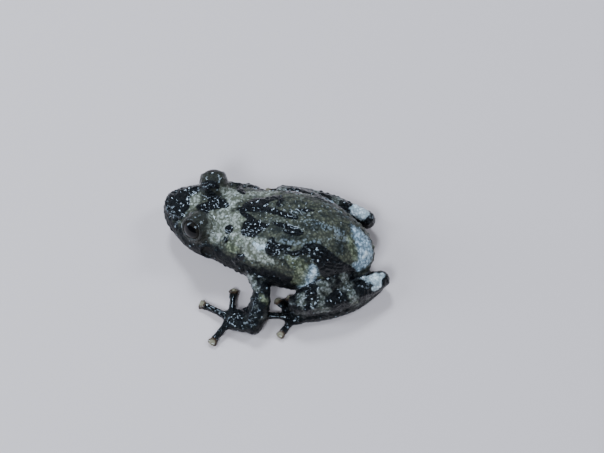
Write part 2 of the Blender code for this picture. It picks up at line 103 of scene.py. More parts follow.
# The margin of the lids is a soft round roll that hugs each eyeball
EYE_RADIUS = 1.99
EYES = {
    "eye_left": {
        "centre": (-1.35, -10.37, 6.3),
        "opening": (0.784, -0.417, 0.46),
        "gaze": (0.80, -0.38, 0.44),
    },
    "eye_right": {
        "centre": (-8.37, -9.70, 6.3),
        "opening": (-0.849, -0.260, 0.46),
        "gaze": (-0.86, -0.23, 0.44),
    },
}
LID_ROLL = 0.2
LID_CIRCLE = 1.51
LID_PROUD = 0.04
LID_AHEAD = math.sqrt(EYE_RADIUS**2 - LID_CIRCLE**2) + LID_PROUD
for eye in EYES.values():
    outward = Vector(eye["opening"]).normalized()
    bpy.ops.mesh.primitive_torus_add(
        major_segments=48,
        minor_segments=12,
        major_radius=LID_CIRCLE * MM,
        minor_radius=LID_ROLL * MM,
        location=(Vector(eye["centre"]) + outward * LID_AHEAD) * MM,
        rotation=outward.to_track_quat("Z", "Y").to_euler(),
    )
    bpy.ops.object.transform_apply(location=True, rotation=True, scale=True)
for obj in bpy.context.scene.objects:
    obj.select_set(obj.name.startswith(("flesh_", "Torus")))
bpy.ops.object.join()
skin = bpy.context.active_object
skin.name = skin.data.name = "skin"
bpy.ops.object.mode_set(mode="EDIT")
bpy.ops.mesh.select_all(action="SELECT")
bpy.ops.mesh.remove_doubles(threshold=WELD)
bpy.ops.object.mode_set(mode="OBJECT")
skin.data.materials.clear()
change(skin, "DISPLACE", strength=JOINING, mid_level=0.0)
change(skin, "REMESH", mode="VOXEL", voxel_size=SKIN_MESH)
change(skin, "DISPLACE", strength=-JOINING, mid_level=0.0)
change(skin, "SMOOTH", factor=0.5, iterations=5)

# The solid that lies under each point of the skin
flesh_points = []
flesh_faces = []
flesh_owner = []
count = 0
for number, name in enumerate(FLESH):
    mesh = frame["nodes"][name].data
    mesh.calc_loop_triangles()
    flesh_points.extend(in_mm(mesh).tolist())
    flesh_faces += [[corner + count for corner in face.vertices] for face in mesh.loop_triangles]
    flesh_owner += [number] * len(mesh.loop_triangles)
    count += len(mesh.vertices)
flesh = BVHTree.FromPolygons(flesh_points, flesh_faces)
points = in_mm(skin.data)
normals = in_mm(skin.data, "normal")
owner = np.array([flesh_owner[flesh.find_nearest(point)[2]] for point in points])


def part_of_body(name):
    """The trunk, or the limb that this solid belongs to."""
    if name in ("head", "lower_jaw", "torso"):
        return "trunk"
    limb = "arm" if name.startswith(("upper_arm", "forearm", "hand")) else "leg"
    return limb + name[name.rindex("_"):]


region = np.array([part_of_body(name) for name in FLESH])[owner]


def solid_tree(name):
    """The faces of one solid, ready to be measured from."""
    mesh = frame["nodes"][name].data
    mesh.calc_loop_triangles()
    return BVHTree.FromPolygons(in_mm(mesh).tolist(), [tuple(face.vertices) for face in mesh.loop_triangles])


# The line of the mouth runs where the skin is as far from the lower jaw as from the head
MOUTH_WIDTH = 0.2
MOUTH_DEPTH = 0.3
NEAR_MOUTH = 0.6
jaw_tree = solid_tree("lower_jaw")
head_tree = solid_tree("head")
push = np.zeros(len(points))
for k in np.nonzero(np.isin(owner, [FLESH.index("head"), FLESH.index("lower_jaw")]))[0]:
    to_jaw = jaw_tree.find_nearest(points[k], NEAR_MOUTH)[3]
    to_head = head_tree.find_nearest(points[k], NEAR_MOUTH)[3]
    if to_jaw is not None and to_head is not None:
        push[k] -= MOUTH_DEPTH * math.exp(-(((to_jaw - to_head) / MOUTH_WIDTH) ** 2))

# The nostrils, which the joining closed, are open again
NOSTRILS = ((-3.95, -15.15, 5.0), (-6.73, -14.88, 5.0))
NOSTRIL_REACH = 0.36
NOSTRIL_DEPTH = 0.4
for nostril in NOSTRILS:
    away = np.linalg.norm(points - np.array(nostril), axis=1) / NOSTRIL_REACH
    push -= NOSTRIL_DEPTH * np.clip(1 - away**2, 0, 1) ** 2

# Markings, with a few patches of painted shade and painted glints, are painted as rows of round dabs: x, y
# and radius in millimetres, seen from above.
# Each dab lies on the skin below it, and its edge is a distance, so the paint can fray it.
ABOVE_ALL = 20.0
skin_tree = BVHTree.FromPolygons(points.tolist(), [tuple(face.vertices) for face in skin.data.polygons])
CREAM = {
    "right cheek": (
        (-7.2, -8.2, 0.4), (-7.2, -7.4, 0.85), (-6.9, -6.6, 0.9),
        (-5.9, -6.4, 0.9), (-5.0, -6.5, 0.6),
    ),
    "right shoulder": (
        (-6.2, -6.0, 0.8), (-6.5, -5.2, 0.7), (-7.3, -4.3, 0.6),
        (-7.6, -3.2, 0.7), (-7.4, -2.1, 0.8), (-8.1, -1.1, 0.5),
    ),
    "nape": ((-3.2, -9.0, 0.6), (-2.4, -8.3, 1.1), (-1.1, -7.8, 1.3), (0.0, -7.7, 0.7)),
    "neck": ((-3.9, -7.0, 0.7), (-2.9, -6.8, 1.1), (-1.6, -6.5, 1.1), (-0.4, -6.4, 0.6)),
    "neck rear": ((-2.9, -6.4, 0.9), (-2.8, -5.0, 0.8), (-2.7, -4.2, 0.5)),
    "left shoulder": (
        (-1.9, -5.4, 0.9), (-0.6, -5.0, 0.9), (0.4, -4.1, 0.8),
        (0.9, -3.0, 0.8), (1.1, -1.7, 0.9), (0.9, -0.9, 0.5),
    ),
    "left side": ((1.9, -3.0, 0.6), (2.2, -2.2, 0.8), (2.3, -1.1, 0.8), (2.8, -0.2, 0.5), (2.9, 0.6, 0.3)),
    "between the eyes": ((-6.5, -11.4, 0.3), (-6.0, -11.6, 0.55), (-5.2, -11.8, 0.7), (-4.5, -12.0, 0.4)),
}
BLACK = {
    "snout right": ((-7.6, -14.2, 0.8), (-6.5, -14.8, 1.2), (-6.9, -13.2, 1.0), (-7.3, -12.1, 0.7)),
    "snout left": (
        (-5.6, -15.7, 0.9), (-4.4, -14.9, 1.2), (-4.1, -13.7, 1.2),
        (-4.4, -12.9, 0.7), (-5.4, -13.4, 0.9),
    ),
    "snout side": ((-3.6, -14.8, 0.7), (-3.1, -14.0, 0.9), (-2.9, -13.2, 0.6)),
    # Its first dabs, by the right lid, are painted shade at the base of the eye's dome; the rest is a black
    # bar.
    "bar behind the right eye": (
        (-7.3, -11.3, 0.4), (-7.0, -10.6, 0.6),
        (-6.3, -9.8, 0.7), (-5.7, -8.9, 0.8),
    ),
    # Black on the near side of the right lid: painted shade at the base of the eye's dome.
    "right lid": ((-7.2, -10.4, 0.5), (-7.2, -9.4, 0.55), (-7.1, -8.8, 0.3)),
    "bar between the eyes": (
        (-4.4, -10.9, 0.45), (-4.5, -9.9, 0.8), (-4.9, -8.8, 0.9),
        (-5.1, -7.9, 0.85), (-4.8, -7.2, 0.5),
    ),
    "bar by the left eye": ((-3.8, -10.5, 0.4), (-3.5, -9.7, 0.4)),
    "right neck bar": ((-7.3, -5.2, 0.35), (-7.9, -5.8, 0.55), (-8.5, -6.1, 0.5)),
    "neck spot": ((-1.05, -5.95, 0.64), (-0.95, -5.9, 0.64)),
    "left neck spots": ((0.2, -6.2, 0.3), (0.5, -6.0, 0.3)),
    "right back front": (
        (-4.1, -5.5, 0.1), (-4.2, -4.8, 0.45), (-4.6, -4.0, 0.9),
        (-5.2, -3.2, 1.15), (-5.2, -2.3, 1.15),
    ),
    "right back edge": ((-3.6, -4.8, 0.2), (-3.2, -4.0, 0.4), (-2.7, -3.4, 0.4), (-2.3, -2.8, 0.4)),
    "right back stripe": (
        (-4.3, -4.2, 0.6), (-4.2, -2.6, 0.6), (-4.0, -1.0, 0.5),
        (-3.6, 0.4, 0.45), (-3.1, 1.6, 0.4), (-2.9, 3.0, 0.3),
    ),
    "right back rear": (
        (-5.6, -2.0, 0.8), (-6.3, -0.8, 0.6), (-6.5, -0.1, 0.5),
        (-5.8, 0.3, 0.4), (-4.9, 0.2, 0.35),
    ),
    "right ridge": ((-4.4, 3.0, 0.2), (-4.3, 4.0, 0.35), (-4.6, 5.0, 0.2)),
    "right side": ((-8.3, 0.8, 0.5), (-8.5, 1.8, 0.5), (-7.9, 2.6, 0.35)),
    "right side rear": ((-7.6, 4.6, 0.3), (-7.4, 6.0, 0.4), (-6.9, 8.6, 0.4)),
    "left back": (
        (-1.7, -3.6, 0.6), (-0.9, -3.4, 0.9), (-0.8, -2.5, 1.0),
        (-1.2, -1.7, 0.75), (-1.5, -0.8, 0.35),
    ),
    "left back front": ((-1.9, -3.0, 0.5), (-1.9, -2.0, 0.4)),
    "left back line": (
        (-1.9, 0.1, 0.15), (-1.7, 1.0, 0.35), (-1.4, 2.2, 0.35),
        (-1.1, 3.4, 0.4), (-0.9, 4.2, 0.15),
    ),
    "left back ridge": ((-0.8, 1.7, 0.2), (-0.55, 2.8, 0.35), (-0.7, 4.0, 0.25)),
    "left flank": ((0.4, 0.3, 0.35), (1.1, 0.3, 0.7), (1.6, 0.4, 0.85), (2.0, 1.2, 0.4)),
    "left flank line": ((1.4, 0.9, 0.6), (1.4, 1.8, 0.45), (1.3, 2.8, 0.3)),
    "groin front": ((1.9, 2.4, 0.2), (1.9, 3.8, 0.35), (1.3, 4.9, 0.5), (0.9, 5.8, 0.7)),
    # Black in the fold where the left thigh meets the trunk: painted shade.
    "groin": (
        (1.0, 5.2, 0.6), (1.2, 6.4, 1.1), (1.7, 7.6, 1.3),
        (2.3, 8.8, 1.7), (2.2, 10.6, 1.6), (1.6, 11.8, 0.8),
    ),
    "shoulder bar": ((2.6, -4.6, 0.35), (2.4, -3.8, 0.5), (2.3, -3.3, 0.3)),
    "left thigh knee": ((4.8, 5.4, 0.4), (5.0, 6.2, 0.5), (5.3, 6.9, 0.35)),
    "left thigh": ((3.0, 8.3, 0.5), (3.5, 9.3, 0.6), (2.2, 9.4, 0.5)),
    "left shank": ((6.9, 6.2, 0.4), (7.2, 7.0, 0.5)),
    "left shank middle": ((5.2, 9.4, 0.8), (5.6, 10.2, 0.9), (4.6, 10.4, 0.5)),
    "left shank rear": ((2.2, 12.4, 0.6), (2.8, 13.2, 0.9), (3.6, 13.6, 0.7)),
    "left heel": ((1.0, 15.7, 0.4), (0.5, 16.2, 0.7), (-0.1, 15.9, 0.3)),
    "right heel": ((-8.2, 12.9, 0.8), (-8.0, 12.6, 0.8)),
    "right shank": ((-9.6, 8.9, 0.5), (-9.9, 9.3, 0.5)),
}
MINT = {
    "rump": ((-3.4, 11.0, 0.7), (-2.6, 11.8, 1.2), (-1.5, 12.5, 1.3), (-0.3, 12.7, 1.3), (0.4, 12.2, 1.0)),
    "rump rear": ((-2.2, 12.6, 1.2), (-1.2, 13.0, 1.2)),
    "flank": ((3.1, 6.2, 0.5), (3.6, 5.9, 0.85), (4.4, 5.4, 0.85)),
    "right flank": ((-8.6, 6.0, 0.5), (-8.3, 7.2, 0.9), (-7.6, 8.4, 0.7)),
}
SNOW = {
    "left heel": ((1.2, 12.8, 0.4), (1.2, 13.6, 0.6), (1.0, 14.6, 0.8), (1.6, 14.9, 0.7), (0.3, 15.4, 0.3)),
    "left heel side": ((2.5, 14.4, 0.25), (2.0, 14.9, 0.4)),
    "right heel": ((-9.4, 10.2, 0.9), (-9.0, 11.2, 1.1)),
    "rump streak": ((-0.6, 12.6, 0.2), (-1.2, 12.9, 0.3)),
    "flank streak": ((3.0, 6.5, 0.15), (3.5, 6.4, 0.2), (4.1, 6.1, 0.15)),
    "shoulder streak": ((1.0, -2.0, 0.2), (1.5, -1.2, 0.35), (1.3, -0.7, 0.25)),
}
LICHEN = {
    "left neck": ((0.9, -5.6, 0.4), (1.3, -5.2, 0.6), (1.5, -4.6, 0.5)),
    "shoulder shade": ((0.2, -4.5, 0.25), (0.6, -3.9, 0.25)),
    "left side": ((2.4, 2.8, 0.4), (2.9, 3.8, 0.8), (3.2, 4.8, 0.9), (4.2, 4.6, 0.9)),
    "neck rear": ((-2.5, -4.4, 0.3), (-2.9, -4.2, 0.3)),
    "rump edge": ((-1.6, 10.4, 0.5), (-0.6, 11.2, 0.6), (0.2, 11.6, 0.4)),
    "right side": ((-8.9, 2.4, 0.6), (-9.0, 3.6, 0.7)),
    "forearm ring": ((6.8, 0.1, 0.4), (7.0, 0.6, 0.4)),
    "shank rear": ((4.1, 11.5, 0.35), (4.6, 12.3, 0.45)),
}
STONE = {
    "left arm": ((4.1, -2.3, 0.4), (4.5, -1.9, 0.5), (5.0, -1.3, 0.35)),
    "left elbow": ((5.3, -1.4, 0.3), (5.7, -0.9, 0.3)),
    "hip": ((1.5, 9.9, 0.5), (1.7, 10.6, 0.5)),
    "thigh top": ((2.4, 10.2, 0.5), (2.6, 10.8, 0.4)),
    "thigh middle": ((3.9, 7.4, 0.4), (4.2, 8.2, 0.6), (4.7, 8.6, 0.5)),
    "thigh side": ((5.1, 7.4, 0.3), (5.5, 8.0, 0.25)),
    "knee": ((5.6, 5.2, 0.3), (6.1, 5.1, 0.45), (6.6, 5.5, 0.5)),
    "shank front": ((5.9, 7.5, 0.25), (6.0, 8.1, 0.25)),
    "shank middle": ((6.5, 8.0, 0.4), (6.6, 8.6, 0.55)),
    "shank band": ((3.4, 11.3, 0.4), (4.1, 11.7, 0.45), (4.6, 12.2, 0.4)),
    "shank ridge": ((3.6, 10.2, 0.25), (3.3, 11.2, 0.25), (2.6, 11.5, 0.25)),
    "right shank": ((-10.4, 7.6, 0.45), (-9.6, 7.4, 0.45)),
    "right shank front": ((-10.9, 4.4, 0.3), (-10.3, 4.2, 0.35)),
    "right knee": ((-9.9, -0.6, 0.4), (-9.4, -0.2, 0.4)),
    "right thigh": ((-8.8, 4.5, 0.35), (-8.5, 5.3, 0.4)),
}
# Pale blue-grey rows on the grain tops: mostly painted glints, partly pale skin.
GLINTS_AND_FROST = {
    "left ridge": ((0.5, 0.9, 0.2), (0.6, 1.8, 0.3), (0.6, 3.2, 0.45), (0.4, 4.5, 0.4), (-0.1, 6.4, 0.3)),
    "left back": ((-2.6, 3.8, 0.3), (-2.7, 5.2, 0.4), (-2.3, 7.6, 0.4), (-2.3, 9.2, 0.5)),
    "right ridge": ((-3.9, 2.6, 0.2), (-4.0, 3.6, 0.3), (-4.3, 4.6, 0.2)),
    "right side": ((-6.6, 5.8, 0.2), (-6.4, 7.0, 0.35), (-5.8, 8.4, 0.3)),
    "right shoulder": ((-7.6, 2.2, 0.2), (-7.8, 3.4, 0.3)),
}


MARKINGS = {
    "cream": CREAM,
    "black": BLACK,
    "mint": MINT,
    "snow": SNOW,
    "lichen": LICHEN,
    "stone": STONE,
    "frost": GLINTS_AND_FROST,
}
DEPTH_KEPT = 1.0
SHORTEST_SPAN = 1e-6


def marking(dabs):
    """How deep inside this row of dabs each point of the skin lies, in millimetres, negative outside."""
    middles = [skin_tree.ray_cast((x, y, ABOVE_ALL), (0, 0, -1))[0] for x, y, _ in dabs]
    radii = [radius for _, _, radius in dabs]
    limb = part_of_body(FLESH[flesh_owner[flesh.find_nearest(middles[0])[2]]])
    same = np.nonzero(region == limb)[0]
    spot = points[same]
    inside = np.full(len(points), -DEPTH_KEPT)
    for k in range(len(dabs) - 1):
        start = np.array(middles[k])
        span = np.array(middles[k + 1]) - start
        along = np.clip((spot - start) @ span / max(span @ span, SHORTEST_SPAN), 0, 1)
        away = np.linalg.norm(spot - start - along[:, None] * span, axis=1)
        depth = radii[k] + along * (radii[k + 1] - radii[k]) - away
        inside[same] = np.maximum(inside[same], depth)
    return np.clip(inside, -DEPTH_KEPT, DEPTH_KEPT)


depths = {}
for name, rows in MARKINGS.items():
    depths[name] = np.max([marking(dabs) for dabs in rows.values()], axis=0)

# The pads of fingers and toes are smooth and paler than the rest; their pale middles are partly painted
# highlight
PADS = {
    "hand_left": ((6.5, -1.25), (4.7, -4.45), (7.4, -8.35), (12.7, -5.75)),
    "hand_right": ((-8.4, -9.45), (-8.2, -11.95), (-9.9, -13.65), (-12.3, -12.15)),
    "foot_left": ((5.2, 4.85), (4.3, 3.35), (5.1, 1.75), (7.6, 0.15), (10.1, 3.05)),
    "foot_right": ((-10.7, 1.15), (-10.1, -0.55), (-10.5, -2.45), (-12.0, -2.95), (-12.6, 0.25)),
}
PAD_HEIGHT = 0.34
PAD_REACH = 0.95
pad = np.zeros(len(points))
for limb, middles in PADS.items():
    mine = owner == FLESH.index(limb)
    for x, y in middles:
        away = np.linalg.norm(points - np.array((x, y, PAD_HEIGHT)), axis=1)
        pad = np.maximum(pad, np.where(mine, np.clip(1 - away / PAD_REACH, 0, 1), 0))

# The ear drums: smooth thin discs behind the eyes, each in a low ring
EARS = (
    {"middle": (1.32, -8.60, 4.5), "outward": (0.877, -0.084, 0.474)},
    {"middle": (-9.92, -7.51, 4.5), "outward": (-0.877, 0.084, 0.474)},
)
DRUM_RADIUS = 0.9
DRUM_DEPTH = 0.08
DRUM_RING = 0.12
DRUM_RING_WIDTH = 0.14
DRUM_EDGE = 0.15
drum = np.zeros(len(points))
for ear in EARS:
    outward = np.array(ear["outward"])
    away = points - np.array(ear["middle"])
    across = np.linalg.norm(away - (away @ outward)[:, None] * outward, axis=1)
    from_drum = np.where(np.linalg.norm(away, axis=1) < 2 * DRUM_RADIUS, across, FAR)
    inside = np.clip((DRUM_RADIUS - from_drum) / DRUM_EDGE, 0, 1)
    push += DRUM_RING * np.exp(-(((from_drum - DRUM_RADIUS) / DRUM_RING_WIDTH) ** 2)) - DRUM_DEPTH * inside
    drum = np.maximum(drum, inside)

# Warts: low domes, packed as close as they come and each a little different in size.
# The black markings and the limbs are drawn up into a net of wavy ridges, the black with no warts.
# Each point of the skin has its own lots, drawn from one seed, so the warts come out the same each time.
SEED = 11
SMALL_MORE_OFTEN = 1.5
random = np.random.default_rng(SEED)
noise.seed_set(SEED)
order_lot = random.random(len(points))
size_lot = random.random(len(points)) ** SMALL_MORE_OFTEN
pale_lot = random.random(len(points))
WART_SPACING = 0.74
WART_RADIUS = (0.28, 0.46)
WART_HEIGHT = (0.06, 0.2)
FINE_SHARE = 0.5
WARTS_ABOVE = 1.2
WARTS_ABOVE_ON_LIMBS = 0.5
BELLY_NORMAL = -0.6
BARE_BY_LID = 0.45
RIDGED_FROM = 0.1
RIDGE_FADE = 0.3
NET_BEYOND_BLACK = -0.8
RIDGE_SPACING = 0.58
RIDGE_HEIGHT = 0.15
RIDGE_WIDTH = 0.26
RIDGE_RUN = np.array((0.51, 0.86, 0.0))
RIDGE_STRETCH = 0.6
RIDGE_WAVES = 0.9
RIDGE_SWAY = 0.75
RIDGES_ON_LIMBS = 0.6
LIMB_RIDGES_ABOVE = 0.35
SMOOTH_PAD = 0.2
NEXT_CELLS = [(i, j, h) for i in (-1, 0, 1) for j in (-1, 0, 1) for h in (-1, 0, 1)]


def scattered(chosen, spacing):
    """Of these points, in the order of their lots, those that keep clear of the ones taken before."""
    taken = []
    cells = {}
    for k in chosen[np.argsort(order_lot[chosen])]:
        cell = tuple((points[k] // spacing).astype(int))
        near = [cells.get((cell[0] + i, cell[1] + j, cell[2] + h), ()) for i, j, h in NEXT_CELLS]
        if all(np.sum((points[k] - points[other]) ** 2) > spacing**2 for group in near for other in group):
            taken.append(k)
            cells.setdefault(cell, []).append(k)
    return taken


def around(centre, reach):
    """The skin's points within a reach of a place, and how far they are from it as a share of the reach."""
    near = np.nonzero(np.all(np.abs(points - centre) < reach, axis=1))[0]
    share = np.linalg.norm(points[near] - centre, axis=1) / reach
    return near[share < 1], share[share < 1]


def drawn_out(place):
    """The place swayed a little and shortened along the run of the ridges, so the net is drawn out."""
    place = place + RIDGE_SWAY * np.array(noise.noise_vector(place * RIDGE_WAVES))
    return place - RIDGE_STRETCH * np.dot(place, RIDGE_RUN) * RIDGE_RUN


lid_roll = np.full(len(points), FAR)
for eye in EYES.values():
    outward = np.array(Vector(eye["opening"]).normalized())
    away = points - np.array(eye["centre"])
    ahead = away @ outward
    aside = np.linalg.norm(away - ahead[:, None] * outward, axis=1)
    lid_roll = np.minimum(lid_roll, np.hypot(aside - LID_CIRCLE, ahead - LID_AHEAD))

wart = np.zeros(len(points))
on_head = np.isin(owner, [FLESH.index("head"), FLESH.index("lower_jaw")])
low = np.where(region == "trunk", WARTS_ABOVE, WARTS_ABOVE_ON_LIMBS)
warty = (points[:, 2] > low) & (normals[:, 2] > BELLY_NORMAL) & (lid_roll > BARE_BY_LID) & (drum == 0)
warty &= depths["black"] <= RIDGED_FROM
for k in scattered(np.nonzero(warty)[0], WART_SPACING):
    radius = WART_RADIUS[0] + size_lot[k] * (WART_RADIUS[1] - WART_RADIUS[0])
    height = WART_HEIGHT[0] + size_lot[k] * (WART_HEIGHT[1] - WART_HEIGHT[0])
    if on_head[k] or points[k][2] < WARTS_ABOVE:
        height *= FINE_SHARE
    near, share = around(points[k], radius)
    dome = (1 - share**2) ** 2
    push[near] += height * dome
    wart[near] = np.maximum(wart[near], dome * pale_lot[k])

on_limb = region != "trunk"
wrinkled_limb = on_limb & (points[:, 2] > LIMB_RIDGES_ABOVE) & (pad < SMOOTH_PAD)
ridge_share = np.maximum(
    np.clip(depths["black"] / RIDGE_FADE, 0, 1),
    np.where(wrinkled_limb, RIDGES_ON_LIMBS, 0),
)
near_black = depths["black"] > NET_BEYOND_BLACK
knots = scattered(np.nonzero(near_black)[0], RIDGE_SPACING)
knots += scattered(np.nonzero(~near_black & on_limb)[0], RIDGE_SPACING)
net = KDTree(len(knots))
for number, k in enumerate(knots):
    net.insert(drawn_out(points[k]), number)
net.balance()
for k in np.nonzero(ridge_share)[0]:
    nearest, second = net.find_n(drawn_out(points[k]), 2)
    between = (second[2] - nearest[2]) / RIDGE_WIDTH
    push[k] += RIDGE_HEIGHT * math.exp(-(between**2)) * ridge_share[k]

moved = (points + normals * push[:, None]) * MM
skin.data.vertices.foreach_set("co", moved.ravel())


def keep(piece, name, numbers):
    """Stores one number for each point of a piece, for its paint."""
    attribute = piece.data.attributes.new(name, "FLOAT", "POINT")
    attribute.data.foreach_set("value", np.asarray(numbers, np.float32))


for name, depth in depths.items():
    keep(skin, name, depth)
keep(skin, "wart", wart)
keep(skin, "pad", pad)
keep(skin, "drum", drum)
LID_MARGIN = 0.35
keep(skin, "lid", np.clip(1 - lid_roll / LID_MARGIN, 0, 1))

# The limbs are nearly black, and so are the sides of the trunk, up to a line that rises from the snout
# to the back and falls to the rump. It is given by how far back each of its points lies, and how high.
DARK_BELOW = (
    (-16.0, 5.0), (-12.0, 5.2), (-8.0, 5.9), (-4.0, 5.7),
    (0.0, 6.5), (3.0, 6.4), (7.0, 6.0), (14.0, 3.0),
)
dark_line = np.interp(points[:, 1], *zip(*DARK_BELOW))
keep(skin, "dark", np.where(on_limb, 1.0, np.clip(dark_line - points[:, 2], -1, 1)))

# The lids and the limbs are wetter than the trunk, and the long parts of the limbs are blotched
LID_REACH = 2.8
LID_FADE = 0.4
LID_GLOSS = 0.8
GLOSS = {
    "upper_arm": 0.75,
    "forearm": 0.35,
    "hand": 0.9,
    "thigh": 0.75,
    "shank": 0.75,
    "tarsus": 0.75,
    "foot": 0.75,
}
BLOTCHED = ("upper_arm", "forearm", "thigh", "shank", "tarsus")
sorts = [name.rsplit("_", 1)[0] for name in FLESH]
gloss = np.array([GLOSS.get(sort, 0.0) for sort in sorts])[owner]
centres = [np.array(eye["centre"]) for eye in EYES.values()]
to_eye = np.min([np.linalg.norm(points - centre, axis=1) for centre in centres], axis=0)
over_eye = np.clip((LID_REACH - to_eye) / LID_FADE, 0, 1)
keep(skin, "over_eye", over_eye)
keep(skin, "gloss", np.maximum(gloss, over_eye * LID_GLOSS))
keep(skin, "limb", np.array([sort in BLOTCHED for sort in sorts])[owner])


class Number:
    """A number that changes over a surface, so that its sums read as sums."""

    def __init__(self, paint, socket):
        self.paint = paint
        self.socket = socket

    def maths(self, operation, *values):
        made = self.paint.node("ShaderNodeMath", {"operation": operation}, dict(enumerate(values)))
        return Number(self.paint, made.outputs[0])

    def __add__(self, other):
        return self.maths("ADD", self, other)

    def __sub__(self, other):
        return self.maths("SUBTRACT", self, other)

    def __mul__(self, other):
        return self.maths("MULTIPLY", self, other)

    __radd__ = __add__
    __rmul__ = __mul__

    def __rsub__(self, other):
        return self.maths("SUBTRACT", other, self)

    def most(self, other):
        return self.maths("MAXIMUM", self, other)

    def step(self, low, high):
        """0 below the low value, 1 above the high one, and smooth between."""
        ends = {"From Min": low, "From Max": high, "Value": self}
        made = self.paint.node("ShaderNodeMapRange", {"interpolation_type": "SMOOTHSTEP"}, ends)
        return Number(self.paint, made.outputs["Result"])


WAVES_PER_MM = 1.2


class Paint:
    """A material being made: its nodes, and the surface shader they end in."""

    def __init__(self, name, **constants):
        self.material = bpy.data.materials.new(name)
        self.material.use_nodes = True
        self.tree = self.material.node_tree
        self.shader = self.tree.nodes["Principled BSDF"]
        for socket, value in constants.items():
            self.shader.inputs[socket.replace("_", " ")].default_value = value

    def node(self, kind, settings=None, sockets=None):
        made = self.tree.nodes.new(kind)
        for name, value in (settings or {}).items():
            setattr(made, name, value)
        for name, value in (sockets or {}).items():
            self.feed(made.inputs[name], value)
        return made

    def feed(self, socket, value):
        if isinstance(value, Number):
            value = value.socket
        if isinstance(value, bpy.types.NodeSocket):
            self.tree.links.new(value, socket)
        else:
            socket.default_value = value

    def kept(self, name):
        """A number stored on the surface's points."""
        made = self.node("ShaderNodeAttribute", {"attribute_name": name})
        return Number(self, made.outputs["Fac"])

    def place(self, stretch=(1, 1, 1)):
        """Where the point is, in millimetres."""
        here = self.node("ShaderNodeTexCoord").outputs["Object"]
        scale = {0: here, 1: tuple(s / MM for s in stretch)}
        return self.node("ShaderNodeVectorMath", {"operation": "MULTIPLY"}, scale).outputs[0]

    def noise(self, per_mm, detail=2.0, roughness=0.5, stretch=(1, 1, 1)):
        """Soft random variation from 0 to 1, about an average of a half."""
        sockets = {"Vector": self.place(stretch), "Scale": per_mm, "Detail": detail, "Roughness": roughness}
        return Number(self, self.node("ShaderNodeTexNoise", None, sockets).outputs["Fac"])

    def grains(self, per_mm, blur=0.3):
        """Packed round grains: 0 at a grain's middle, rising to its edge."""
        settings = {"feature": "SMOOTH_F1", "voronoi_dimensions": "3D"}
        sockets = {"Vector": self.place(), "Scale": per_mm, "Smoothness": blur}
        return Number(self, self.node("ShaderNodeTexVoronoi", settings, sockets).outputs["Distance"])

    def wrinkles(self, per_mm, width, stretch=(1, 1, 1)):
        """Thin wavy lines that meet in a net: 1 on a line, falling to 0 beside it."""
        here = self.place(stretch)
        waves = {"Vector": here, "Scale": WAVES_PER_MM}
        sway = self.node("ShaderNodeTexNoise", None, waves).outputs["Color"]
        swayed = self.node("ShaderNodeVectorMath", {"operation": "ADD"}, {0: here, 1: sway}).outputs[0]
        sockets = {"Vector": swayed, "Scale": per_mm}
        made = self.node("ShaderNodeTexVoronoi", {"feature": "DISTANCE_TO_EDGE"}, sockets)
        return 1 - Number(self, made.outputs["Distance"]).step(0.0, width)

    def mix(self, amount, low, high):
        """From one colour to another by an amount from 0 to 1."""
        made = self.node("ShaderNodeMix", {"data_type": "RGBA"}, {0: amount, 6: low, 7: high})
        return made.outputs[2]

    def finish(self, **sockets):
        for name, value in sockets.items():
            self.feed(self.shader.inputs[name.replace("_", " ")], value)


def colour(red, green, blue):
    """A colour given as a painter's 0 to 255 values, brought to the light it throws back."""
    parts = (v / 255 for v in (red, green, blue))
    return (*(v / 12.92 if v < 0.04045 else ((v + 0.055) / 1.055) ** 2.4 for v in parts), 1.0)


wet = Paint("wet_mottled_skin", Coat_Roughness=0.07, Coat_IOR=1.33, Specular_IOR_Level=0.1)
OLIVE = colour(86, 83, 66)
OLIVE_DARK = colour(44, 44, 36)
HOLLOW_SHADE = colour(18, 20, 20)
INK = colour(6, 7, 9)
GLINT_AND_FROST_PALE = colour(132, 142, 150)
WART_TIP_AND_GLINT = colour(168, 174, 176)
DRUM_BROWN = colour(46, 40, 33)
LID_BROWN = colour(40, 38, 31)
LID_EDGE_SHADE = colour(34, 32, 28)
PAD_PALE_AND_HIGHLIGHT = colour(150, 138, 112)
PAD_BROWN = colour(80, 58, 42)
# The pale markings, each over the one before: on the grains, between the grains, and how well it covers
PALE_MARKINGS = {
    "cream": (colour(166, 163, 150), colour(86, 84, 68), 1.0),
    "mint": (colour(194, 208, 216), colour(100, 112, 118), 1.0),
    "snow": (colour(246, 248, 246), colour(160, 168, 168), 1.0),
    "lichen": (colour(138, 138, 108), colour(62, 64, 46), 0.85),
    "stone": (colour(150, 148, 140), colour(62, 62, 52), 1.0),
}
# How far each marking's edge frays, and the depths inside it, in millimetres, where it begins and is full
EDGES = {
    "black": (0.5, -0.08, 0.08),
    "cream": (1.6, -0.35, 0.2),
    "mint": (2.4, -0.45, 0.4),
    "snow": (1.2, -0.2, 0.15),
    "lichen": (1.6, -0.3, 0.3),
    "stone": (1.8, -0.3, 0.2),
    "frost": (1.4, -0.2, 0.3),
    "dark": (1.6, -0.3, 0.4),
}
STREAKS = (1.0, 0.5, 1.0)
RELIEF_DEPTH = 0.16 * MM
RELIEF_STRENGTH = 0.9

